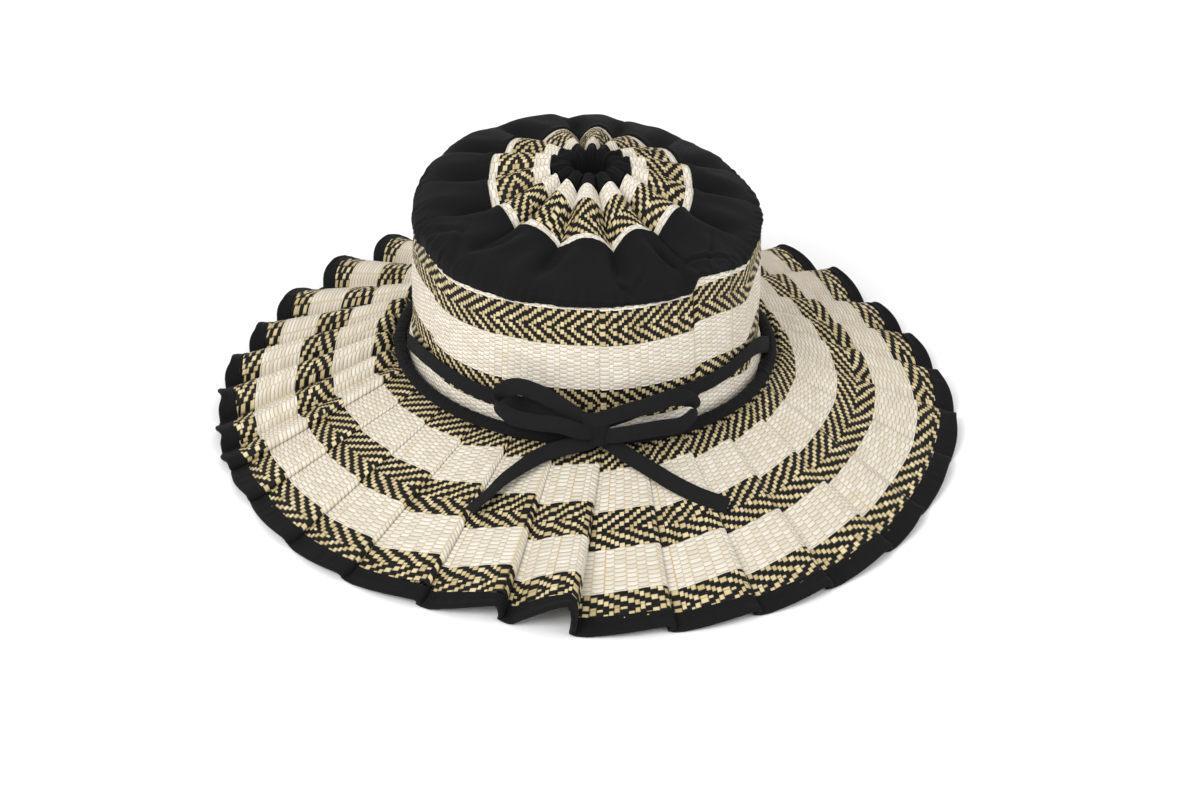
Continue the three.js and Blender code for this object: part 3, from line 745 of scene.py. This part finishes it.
def panel_points(k, s, t, q, tucked=True):
    """Points of one fold. t runs 0 to 1 over the panel; q runs 0 to 1 down its return."""
    start = crease_line(k - 1, s, tucked)
    ridge = ridge_line(k, s)
    span = ridge - start
    wide = np.linalg.norm(span, axis=-1)
    forward = span / wide[..., None]
    rise = fold_rise(k, s)
    nose = NOSE * np.clip(rise / 2, 0.5, 1)
    bent = np.clip((t - 0.15) / 0.85, 0, 1)
    x_panel = t * (wide - nose)
    z_panel = rise * (1 - (1 - bent) ** PANEL_CURVE)
    over = run_on(k, s, tucked)
    # A standing pleat comes down in one arch.
    phi = q * np.pi / 2
    x_arch = wide - nose + (nose + np.maximum(over, 0.2)) * np.sin(phi)
    z_arch = rise * np.cos(phi)
    # A flat fold rounds over and then runs back under its ridge.
    upper = np.clip(2 * q, 0, 1) * np.pi / 2
    lower = np.clip(2 * q - 1, 0, 1) * np.pi / 2
    waist = 0.35 * rise
    x_tuck = np.where(q < 0.5, wide - nose + nose * np.sin(upper),
                      wide + np.minimum(over, 0) * (1 - np.cos(lower)))
    z_tuck = np.where(q < 0.5, waist + (rise - waist) * np.cos(upper),
                      waist * (1 - np.sin(lower)))
    share = tuck_share(k) if tucked else 0.0
    x_return = blend(x_arch, x_tuck, share)
    z_return = blend(z_arch, z_tuck, share)
    on_panel = q <= 0
    x = np.where(on_panel, x_panel, x_return)
    z = np.where(on_panel, z_panel, z_return)
    flat = start + forward * x[..., None]
    radius = np.linalg.norm(flat, axis=-1)
    bulge = HEM_BULGE * np.clip(s, 0, 1) * np.sin(np.pi * np.clip(x / wide, 0, 1)) ** 0.8
    bulge = bulge - TIP_OVERHANG * s * q
    top = np.clip(z / rise, 0, 1) ** 4 * np.clip(rise / 10, 0, 1)
    bulge = bulge - TIP_ROUND * top * smooth(s, 0.86, 1.0) ** 2
    flat = flat * (1 + bulge / radius)[..., None]
    inner = BRIM_TOP_HEIGHT - STRAW_WALL + side_lean(flat, SIDE_DROP)
    ground = inner * np.clip(1 - s / FOOT_START, 0, None)
    return np.concatenate([flat, (ground + STRAW_TOP + z)[..., None]], -1)


def count_warps():
    """Warps across each panel and down its return, from its size at mid brim."""
    rows = []
    t = np.linspace(0, 1, 30)
    for k in range(len(FOLDS)):
        panel = panel_points(k, MID_BRIM + 0 * t, t, 0 * t)
        length = path_along(panel)[-1]
        rows.append([2 * round(length / WARP_PAIR), 4 if tuck_share(k) < 0.6 else 2])
    # The herringbone repeats every four warps, so all the warps are a multiple of four.
    rows[0][0] += -sum(map(sum, rows)) % 4
    return rows


WARPS = count_warps()
BRIM_COLUMNS = np.arange(0, sum(map(sum, WARPS)), 0.5)


def brim_surface(rows, tucked=True, straight=False):
    """Points of the brim for weave rows, or for shares of its length if straight."""
    pieces = []
    for k, (across, down) in enumerate(WARPS):
        column = np.arange(0, across + down, 0.5)
        t = np.clip(column / across, 0, 1)
        q = np.clip((column - across) / down, 0, 1)
        side = t - q
        if straight:
            s = rows[:, None] + 0 * t
        else:
            fold = FOLDS[k]
            s = (ROW * rows[:, None] + fold.shift - fold.skew * (side - 0.5)) / BRIM_LENGTH
        pieces.append(panel_points(k, s, t + 0 * s, q + 0 * s, tucked))
    return np.concatenate(pieces, 1)


def make_brim():
    groups = {"brim_inner": BRIM_BANDS[:2], "brim_middle": BRIM_BANDS[2:4],
              "brim_outer": BRIM_BANDS[4:]}
    for name, bands in groups.items():
        parts = weave(brim_surface, BRIM_COLUMNS, bands)
        make_piece(name, parts, BRIM_STRAW, ["brim"])
    parts = lining(lambda rows: brim_surface(rows, tucked=False), BRIM_COLUMNS, BRIM_BANDS,
                   STRAW_WALL)
    for part in parts:
        part.points[..., 2] = np.maximum(part.points[..., 2], UNDERSIDE_FLOOR)
    make_piece("brim_underside", parts, BRIM_STRAW, ["brim"])


# Cross-section of the binding: distance in from the hem, and height above the straw.
HEM_SECTION = table("inward lift", [
    (10.6, -0.3), (10.55, 0.2), (10.2, 0.5), (9.6, 0.52), (9.0, 0.3), (8.4, 0.5),
    (7.4, 0.6), (6, 0.6), (4.5, 0.6), (3, 0.58), (1.8, 0.55), (0.9, 0.45),
    (0.35, 0.2), (0.05, -0.2), (0, -0.7), (0.1, -1.3), (0.6, -1.8),
    (2, -2.0), (5, -2.0), (8, -2.0), (10, -1.9), (10.6, -1.4),
])
HEM_GROOVE = 4  # row of the section where its stitches lie
HEM_GRAIN = 2.4  # mm of binding for each warp of the brim


def make_hem():
    inward, lift = numbers(HEM_SECTION, "inward lift").T
    s = 1 - inward / BRIM_LENGTH
    even = np.linspace(s.min(), 1, len(s))
    base = brim_surface(s, straight=True)
    normals = grid_normals(brim_surface(even, straight=True))
    order = np.interp(s, even, np.arange(len(s)))
    below = order.astype(int)
    share = (order - below)[:, None, None]
    above = np.minimum(below + 1, len(s) - 1)
    normals = unit(blend(normals[below], normals[above], share))
    turn = np.degrees(np.arctan2(base[0, :, 1], base[0, :, 0]))
    pucker = 0.12 * ring_noise(turn, 60, 260, 3)
    taper = np.where((lift > 0.25) & (s < 0.995), 1, 0)[:, None]
    points = base + normals * (lift[:, None] + taper * pucker)[..., None]
    points[..., 2] = np.maximum(points[..., 2], 0.02)
    place = uv_grid(BRIM_COLUMNS * HEM_GRAIN, s * BRIM_LENGTH)
    hem = grid(points, place, (BRIM_COLUMNS[-1] + 0.5) * HEM_GRAIN)
    make_piece("hem_binding", [hem], [BINDING], ["brim_hem"])
    groove = [np.vstack([at[HEM_GROOVE], at[HEM_GROOVE, :1]]) for at in (points, normals)]
    make_piece("hem_stitches", stitches(*groove, HEM_STITCH), [THREAD])


# Collar
def make_collar():
    turn = np.arange(0, 360, 0.5)
    angles = np.linspace(0, 2 * np.pi, 21)
    gather = 0.16 * ring_noise(turn, 40, 200, 11) + 0.1 * ring_noise(turn, 200, 300, 12)
    twist = 0.5 * ring_noise(turn, 20, 90, 13)
    points = []
    for angle in angles:
        seam = -0.35 * np.exp(-((angle - 2.3) / 0.22) ** 2)
        tube = COLLAR_TUBE + seam + gather * np.sin(angle + twist) ** 2 - 0.1
        radius = COLLAR_RADIUS - tube * np.cos(angle)
        points.append(polar(turn, radius, COLLAR_HEIGHT + tube * np.sin(angle)))
    points = np.stack(points)
    points[..., 2] += side_lean(points, SIDE_DROP)
    place = uv_grid(np.radians(turn) * COLLAR_RADIUS, angles * COLLAR_TUBE)
    casing = grid(points, place, 2 * np.pi * COLLAR_RADIUS)
    make_piece("collar_casing", [casing], [BINDING], ["collar"])


# Crown wall
CROWN_PROFILE = table("height radius", [
    (36.5, 95.6), (45, 94.9), (54, 92.9), (82, 92.4), (110, 91.6), (121, 91.4),
])
FRONT_PULL = 0.06  # share of the radius by which the seam leans in in front
LEFT_PULL = 0.03  # and at the left
PULL_START = 50  # height where that starts
CROWN_FOOT = 36.5
SEAM_HEIGHT = 110
SEAM_SIDE_DROP = 2
YOKE_EDGE = 110.6  # the cotton's lower edge where nothing lifts it
CROWN_WARPS = 332
CROWN_COLUMNS = np.arange(0, CROWN_WARPS, 0.5)
UNDER_COTTON = 3.5  # the straw lies this much further in under the cotton


def pulled_radius(radius, turn, height):
    front = np.maximum(0, -np.sin(np.radians(turn)))
    left = np.maximum(0, -np.cos(np.radians(turn))) ** 4 * smooth(radius, 54, 88)
    share = np.clip((height - PULL_START) / (SEAM_HEIGHT - PULL_START), 0, 1)
    return radius * (1 - (FRONT_PULL * front ** 2 + LEFT_PULL * left) * share)


# Upright folds of the crown wall: where, how far one side stands out, and how wide.
CROWN_FOLDS = table("turn step width", [
    (212, 0.7, 5), (241, -0.5, 4), (250, 0.5, 4), (275, 0.8, 2.5), (308.5, 1.0, 2.5),
    (324, -0.6, 4), (20, 0.7, 4), (75, -0.6, 5), (130, 0.7, 4), (170, -0.6, 5),
])


def left_lift(turn):
    """How much higher the straw and the yoke's edge lie at the left of the crown."""
    return 3.5 * (1 - smooth(turn, 206, 222)) * smooth(turn, 150, 206)


def right_lift(turn):
    """The same at its right end."""
    turn = from_turn(turn, 0)
    return 6 * smooth(turn, -26, -14) * (1 - smooth(turn, 10, 50))


def front_step(turn):
    """How much higher the straw lies behind the fold at the front right."""
    return 5 * smooth(turn, 307.8, 309) * (1 - smooth(turn, 316, 336))


def seam_step(turn):
    """How much higher the yoke's edge lies there."""
    return 7.5 * smooth(turn, 307, 309.5) * (1 - smooth(turn, 310, 340))


def yoke_rim(turn):
    """Height of the yoke's lower edge."""
    return YOKE_EDGE + left_lift(turn) + seam_step(turn) + right_lift(turn)


def crown_surface(rows):
    turn = 360 * CROWN_COLUMNS / CROWN_WARPS
    raised = front_step(turn) + left_lift(turn) + right_lift(turn)
    height = CROWN_TOP - ROW * rows[:, None] + raised
    height = np.clip(height, CROWN_FOOT, yoke_rim(turn) + 1)
    radius = np.interp(height, *numbers(CROWN_PROFILE, "height radius").T)
    for fold in CROWN_FOLDS:
        away = from_turn(turn, fold.turn)
        near = np.exp(-np.abs(away) / fold.width) * np.sign(away)
        radius = radius + fold.step * near * smooth(height, 48, 60)
    radius = radius + 0.5 * ring_noise(turn, 3, 14, 21) * smooth(height, 50, 80)
    radius = radius - UNDER_COTTON * smooth(height - yoke_rim(turn), -1.5, 1.0)
    radius = pulled_radius(radius, turn, height)
    points = polar(turn, radius, height)
    share = np.clip((height - CROWN_FOOT) / (SEAM_HEIGHT - CROWN_FOOT), 0, 1)
    points[..., 2] += side_lean(points, blend(SIDE_DROP, SEAM_SIDE_DROP, share))
    return points


def make_crown():
    parts = weave(crown_surface, CROWN_COLUMNS, CROWN_BANDS)
    parts += lining(crown_surface, CROWN_COLUMNS, CROWN_BANDS, STRAW_WALL)
    make_piece("crown_wall", parts, STRAW, ["crown_band"])


# Crown top
ROSETTE_SHIFT = 3  # the rosette's middle lies this far to the right
SHIFT_START = 92
YOKE_INNER = 54.3


def fold_turn(place, key):
    """Angle of a place given in folds, each of which runs from valley to valley."""
    ridges = numbers(ROSETTE_FOLDS, key)[:, 0]
    around = np.concatenate([[ridges[-1] - 360], ridges, [ridges[0] + 360]])
    knots = [(around[0] + around[1]) / 2]
    for before, after in zip(around[1:-1], around[2:]):
        knots += [before, (before + after) / 2]
    return np.interp(place, np.arange(len(knots)) / 2, knots)


def own_heights(place):
    """Extra height of the ridge and of the nearer valley of the fold at each place."""
    ridges, dips = numbers(ROSETTE_FOLDS, "ridge dip").T
    fold = np.floor(place).astype(int) % len(ridges)
    first_half = place % 1 < 0.5
    return ridges[fold], np.where(first_half, dips[fold - 1], dips[fold])


def top_points(sections, place, twist):
    """Points of the crown top for dense sections and places round the folds."""
    radius, valley, lift, own, fore, side = sections.T[:, :, None]
    ridge, dip = own_heights(place)
    turn = blend(fold_turn(place, "rim"), fold_turn(place, "centre"), twist[:, None])
    back = np.abs(np.sin(np.pi * (place % 1))) ** 0.8
    height = valley + own * dip + (lift + own * (ridge - dip)) * back
    height = height + fore * np.sin(np.radians(turn)) + side * np.cos(np.radians(turn))
    points = polar(turn, pulled_radius(radius, turn, valley), height)
    inwards = np.clip((SHIFT_START - radius) / (SHIFT_START - YOKE_INNER), 0, 1)
    points[..., 0] += ROSETTE_SHIFT * inwards
    return points, turn


def dense_sections(rows, count):
    """Sections spread evenly over the profile that the given ones make."""
    return catmull(numbers(rows, SECTION_KEYS), count)


ROSETTE_WARPS = 196
ROSETTE_COLUMNS = np.arange(0, ROSETTE_WARPS, 0.5)
UNDER_EDGE = 0.9  # how far the straw dips where the cotton overlaps it


def rosette_surface(rows):
    dense = dense_sections(ROSETTE_SECTIONS, 200)
    path = path_along(dense[:, :2])
    wanted = np.clip(rows * ROW, -3, path[-1])
    inside = np.maximum(wanted, 0)
    sections = read_along(inside, path, dense)
    sections[:, 0] += np.maximum(-wanted, 0)
    sections[:, 1] -= UNDER_EDGE * smooth(-wanted, -0.6, 0.8)
    twist = inside / path[-1]
    place = ROSETTE_COLUMNS / ROSETTE_WARPS * len(ROSETTE_FOLDS)
    return top_points(sections[::-1], place, twist[::-1])[0][::-1]


def make_rosette():
    parts = weave(rosette_surface, ROSETTE_COLUMNS, ROSETTE_BANDS)
    parts += lining(rosette_surface, ROSETTE_COLUMNS, ROSETTE_BANDS, -STRAW_WALL)
    for part in parts:
        part.flip = not part.flip
    make_piece("rosette_folds", parts, STRAW, ["rosette"])


# Soft dents of the yoke: angle, radius where deepest, reach along and across, depth, and
# how far the dent turns with the radius.
YOKE_CREASES = table("turn radius reach width depth drift", [
    (254, 66, 12, 4.5, 2.2, -3), (227, 68, 13, 4.5, 2.6, -5), (199, 68, 13, 4, 2.2, -4),
    (174, 68, 13, 4, 2, -3), (152, 68, 12, 4, 2, -2), (124, 70, 12, 5, 2, 2),
    (96, 68, 11, 4, 2, 2), (76, 68, 11, 4, 1.8, 2), (53, 68, 12, 4, 2, 3),
    (27, 68, 12, 4, 2, 3), (6, 68, 12, 4, 2, 3), (341, 70, 13, 4.5, 2.4, 4),
    (306, 70, 13, 4, 3.2, 3), (284, 66, 10, 4, 2, 0),
    (284, 84, 5, 1.5, 1.2, 2), (290, 82, 5, 1.8, 1.1, -3), (316, 82, 6, 3, 1.6, 8),
    (324, 80, 6, 2.4, 1.3, -6), (217, 82, 7, 3, 1.2, 4), (208, 84, 7, 3, 1.2, -5),
])


YOKE_ROWS = 50
YOKE_STEPS = 50  # columns for each fold
YOKE_GRAIN = 1.6  # mm of cloth for each degree
YOKE_LENGTH = 49


def yoke_surface(offset=0.0):
    """Points of the yoke, angles of its columns, and the height of its rim at each."""
    dense = dense_sections(YOKE_SECTIONS, YOKE_ROWS)
    place = np.arange(0, len(ROSETTE_FOLDS), 1 / YOKE_STEPS)
    points, turn = top_points(dense, place, np.zeros(YOKE_ROWS))
    radius = dense[:, :1]
    normals = -grid_normals(points)
    move = 0.35 * ring_noise(turn, 8, 40, 31) * smooth(radius, 56, 80)
    fine = 0.07 * ring_noise(turn, 50, 120, 32) * (1 - smooth(radius, 54, 62))
    edge = 0.25 * ring_noise(turn, 50, 140, 33) * smooth(radius, 84, 91.5)
    move = move + fine + edge
    for crease in YOKE_CREASES:
        along = (radius - crease.radius) / crease.reach
        middle = crease.turn + crease.drift * along
        across = from_turn(turn, middle) * np.radians(1) * radius / crease.width
        move = move - crease.depth * np.exp(-along ** 2 - across ** 2)
        move = move + 0.5 * crease.depth * np.exp(-along ** 2 - (np.abs(across) - 2) ** 2)
    points = points + normals * (move + offset)[..., None]
    rim = yoke_rim(turn[0] % 360) + side_lean(points[0], SEAM_SIDE_DROP)
    return points, turn[0], rim


def make_yoke():
    top, turn, rim = yoke_surface()
    inner = yoke_surface(-COTTON_WALL)[0]
    # The lower edge is lifted to the rim's height, and the cloth above it follows.
    raised = seam_step(turn % 360)
    share = np.linspace(0, 1, YOKE_ROWS)
    reach = smooth(share, 0.32, 0)[:, None]
    wide_reach = smooth(share, 0.85, 0)[:, None]
    for points in (top, inner):
        start = points[0, :, 2]
        points[..., 2] += (rim - start - raised) * reach + raised * wide_reach
        points[..., :2] += unit(points[..., :2]) * 0.5 * reach[..., None] ** 4
        points[..., 2] += 0.9 * smooth(share, 0.9, 1)[:, None]
    uv = uv_grid(turn * YOKE_GRAIN, np.linspace(0, YOKE_LENGTH, YOKE_ROWS))
    period = 360 * YOKE_GRAIN
    edge_low = roll_edge(top[0], inner[0], top[1])
    edge_high = roll_edge(top[-1], inner[-1], top[-2])
    parts = [grid(top, uv, period, flip=True), grid(inner, uv, period),
             grid(edge_low, uv[:len(edge_low)], period),
             grid(edge_high, uv[:len(edge_high)], period, flip=True)]
    yoke = make_piece("yoke_cloth", parts, [COTTON], ["crown_yoke"])


def roll_edge(outer, inner, before):
    """A turned edge that bulges a little past the end of the cloth."""
    away = unit(outer - before)
    middle = (outer + inner) / 2 + away * 0.7
    bulge_out = outer + (outer - inner) * 0.2 + away * 0.45
    bulge_in = inner + (inner - outer) * 0.1 + away * 0.45
    return np.stack([outer, bulge_out, middle, bulge_in, inner])


CENTRE_ROWS = 36
CENTRE_STEPS = 40
CENTRE_GRAIN = 0.3
CENTRE_LENGTH = 26


def make_centre():
    dense = dense_sections(CENTRE_SECTIONS, CENTRE_ROWS)
    place = np.arange(0, len(ROSETTE_FOLDS), 1 / CENTRE_STEPS)
    points, turn = top_points(dense, place, np.ones(CENTRE_ROWS))
    radius = dense[:, :1]
    normals = -grid_normals(points)
    pleats = 0.55 * np.abs(np.sin(np.pi * place * 4 + 0.8 * ring_noise(turn, 3, 12, 41)))
    gather = (1 - smooth(radius, 14, 20)) * (0.6 + 0.4 * smooth(radius, 6, 10))
    move = pleats * gather - 0.3 + 0.2 * ring_noise(turn, 20, 60, 42)
    rolled = 0.7 * np.exp(-((radius - 20.3) / 0.8) ** 2)
    points = points + normals * (move + rolled)[..., None]
    inner = points - normals * COTTON_WALL
    uv = uv_grid(turn[0] * CENTRE_GRAIN, np.linspace(0, CENTRE_LENGTH, CENTRE_ROWS))
    period = 360 * CENTRE_GRAIN
    parts = [grid(points, uv, period, flip=True), grid(inner, uv, period)]
    centre = make_piece("centre_gathers", parts, [COTTON], ["rosette_centre"])


# Ribbons
RIBBON_STEP = 0.7
STITCH_LINE = 0.385  # where the stitches run, as a share of the width
RIBBON_SIDES = table("across depth", [
    (-0.5, 0.35), (-0.47, 0.85), (-0.43, 1.0), (-0.385, 0.8), (-0.34, 1.0), (-0.15, 0.95),
    (0.15, 0.95), (0.34, 1.0), (0.385, 0.8), (0.43, 1.0), (0.47, 0.85), (0.5, 0.35),
])


def ribbon(tape, seed):
    """Makes a flat tape, and gives its stitches, on both faces or on the outward one."""
    keys = numbers(tape.rows, "turn out up lean")
    middle = polar(keys[:, 0], keys[:, 1], keys[:, 2])
    length = path_along(middle)[-1]
    count = int(length / RIBBON_STEP)
    dense = catmull(np.concatenate([middle, keys[:, 3:]], 1), count)
    centre = dense[:, :3]
    lean = np.radians(dense[:, 3])
    along = unit(np.gradient(centre, axis=0))
    outward = unit(centre * [1, 1, 0])
    tipped = np.cos(lean)[:, None] * [0, 0, 1] - np.sin(lean)[:, None] * outward
    face = unit(np.cross(along, tipped))
    across = unit(np.cross(face, along))
    path = np.linspace(0, length, count)
    pinch = tape.start * np.exp(-path / 5) + tape.end * np.exp((path - length) / 5)
    rng = np.random.default_rng(seed)
    phase = rng.uniform(0, 6, 3)
    sway = 0.25 * np.sin(path / 6 + phase[0]) + 0.15 * np.sin(path / 2.7 + phase[1])

    def line_at(place, depth):
        """A line along the tape, at a share of its width and a height over its middle."""
        sideways = place * tape.width * (1 - 0.25 * pinch)
        folds = 0.5 * pinch * np.cos(place * 16 + phase[2])
        return (centre + across * sideways[:, None]
                + face * (depth + folds + sway * abs(place))[:, None])

    sides = numbers(RIBBON_SIDES, "across depth")
    loop = np.vstack([sides, sides[::-1] * [1, -1], sides[:1]])
    points = np.stack([line_at(place, depth * TAPE_WALL / 2) for place, depth in loop], 1)
    uv = uv_grid(loop[:, 0] * tape.width, path)
    parts = [grid(points, uv)]
    for end in (0, -1):
        ring = points[end]
        closing = ring * 0.04 + ring.mean(0) * 0.96
        parts.append(grid(np.stack([ring, closing]), uv[:2], flip=end == -1))
    make_piece(tape.name, parts, [TAPE], [tape.node])
    threads = []
    front = 1 if (face * outward).sum() > 0 else -1
    for place in (-STITCH_LINE, STITCH_LINE):
        for side in ((1, -1) if tape.both else (front,)):
            line = line_at(place, side * TAPE_WALL * 0.4)
            threads += stitches(line, face * side, TAPE_STITCH)
    return threads


KNOT = SimpleNamespace(turn=273.9, out=107.6, up=49.8, wide=10.5, deep=5.2, tall=14.5)
KNOT_ROWS = 40
KNOT_COLUMNS = 96


def make_knot():
    level = np.linspace(-1, 1, KNOT_ROWS)[:, None]
    angle = np.linspace(0, 2 * np.pi, KNOT_COLUMNS, endpoint=False)[None]
    round_end = np.clip(1 - np.abs(level) ** 7, 0, 1) ** 0.5
    waist = 1 - 0.06 * (1 - level ** 2)
    pleat = 0.22 * np.cos(angle * 15 + 1.2 * np.sin(2.2 * level)) + 0.12 * np.cos(angle * 27)
    x = (KNOT.wide / 2 * waist + pleat) * round_end * np.cos(angle)
    y = (KNOT.deep / 2 * waist + pleat) * round_end * np.sin(angle)
    z = KNOT.tall / 2 * level + 0 * angle + 0.5 * np.sin(angle) * level
    side = np.radians(KNOT.turn + 90)
    turned = (x * np.cos(side) - y * np.sin(side), x * np.sin(side) + y * np.cos(side), z)
    points = np.stack(turned, -1) + polar(KNOT.turn, KNOT.out, KNOT.up)
    knot = grid(points, uv_grid(angle[0] * 8, level[:, 0] * 7), 16 * np.pi, flip=True)
    make_piece("knot_wrap", [knot], [TAPE], ["bow_knot"])


# The tapes of the tie and bow. start and end: how hard each is gathered there.
TAPES = table("name node rows width start end both", [
    ("tie_left_tape", "tie_left", TIE_LEFT, 9, 0.3, 0.8, False),
    ("tie_right_tape", "tie_right", TIE_RIGHT, 9, 0.8, 0.3, False),
    ("loop_left_tape", "bow_loop_left", LOOP_LEFT, 8.5, 0.6, 0.6, True),
    ("loop_right_tape", "bow_loop_right", LOOP_RIGHT, 8.5, 0.2, 0.5, True),
    ("tail_left_tape", "tail_left", TAIL_LEFT, 8.3, 1.0, 0.0, False),
    ("tail_right_tape", "tail_right", TAIL_RIGHT, 8.3, 1.0, 0.0, False),
])


def make_bow():
    threads = []
    for seed, tape in enumerate(TAPES, 1):
        threads += ribbon(tape, seed)
    make_piece("tape_stitches", threads, [THREAD])
    make_knot()


# Floor, light and camera
FLOOR_REACH = 3.0
CAMERA = SimpleNamespace(place=(0.007554, -0.937178, 0.5929), tilt=57.8, lens=60.09, sensor=36)


def make_floor():
    x = FLOOR_REACH
    mesh = bpy.data.meshes.new("floor")
    mesh.from_pydata([(-x, -x, 0), (x, -x, 0), (x, x, 0), (-x, x, 0)], [], [(0, 1, 2, 3)])
    floor = bpy.data.objects.new("floor", mesh)
    bpy.context.scene.collection.objects.link(floor)
    shader = Shader("floor_white", 0.9)
    tone = shader.noise(shader.object_place(), 3.0)
    mesh.materials.append(shader.finish(shader.mix(tone, *FLOOR_WHITE), tone, FLOOR_DEPTH))


def make_light(name, place, aim, size, power):
    light = bpy.data.lights.new(name, "AREA")
    light.shape = "DISK"
    light.size = size
    light.energy = power
    lamp = bpy.data.objects.new(name, light)
    lamp.location = place
    away = np.array(place) - np.array(aim)
    lamp.rotation_euler = (math.acos(away[2] / np.linalg.norm(away)), 0,
                           math.atan2(away[1], away[0]) + math.pi / 2)
    bpy.context.scene.collection.objects.link(lamp)


def make_studio():
    make_floor()
    make_light("key", (-0.9, -1.1, 1.2), (0, 0, 0.05), 1.0, 20)
    make_light("fill", (1.3, -0.9, 1.0), (0, 0, 0.05), 1.4, 9)
    make_light("back", (0.2, 1.4, 1.5), (0, 0, 0.08), 1.2, 3)
    world = bpy.data.worlds.new("studio")
    world.use_nodes = True
    background = world.node_tree.nodes["Background"]
    background.inputs["Color"].default_value = (1, 1, 1, 1)
    background.inputs["Strength"].default_value = 0.76
    scene = bpy.context.scene
    scene.world = world
    scene.view_settings.view_transform = "Standard"
    camera = bpy.data.objects.new("camera", bpy.data.cameras.new("camera"))
    camera.location = CAMERA.place
    camera.rotation_euler = (math.radians(CAMERA.tilt), 0, 0)
    camera.data.lens = CAMERA.lens
    camera.data.sensor_width = CAMERA.sensor
    scene.collection.objects.link(camera)
    scene.camera = camera


make_studio()
make_brim()
make_hem()
make_collar()
make_crown()
make_yoke()
make_rosette()
make_centre()
make_bow()
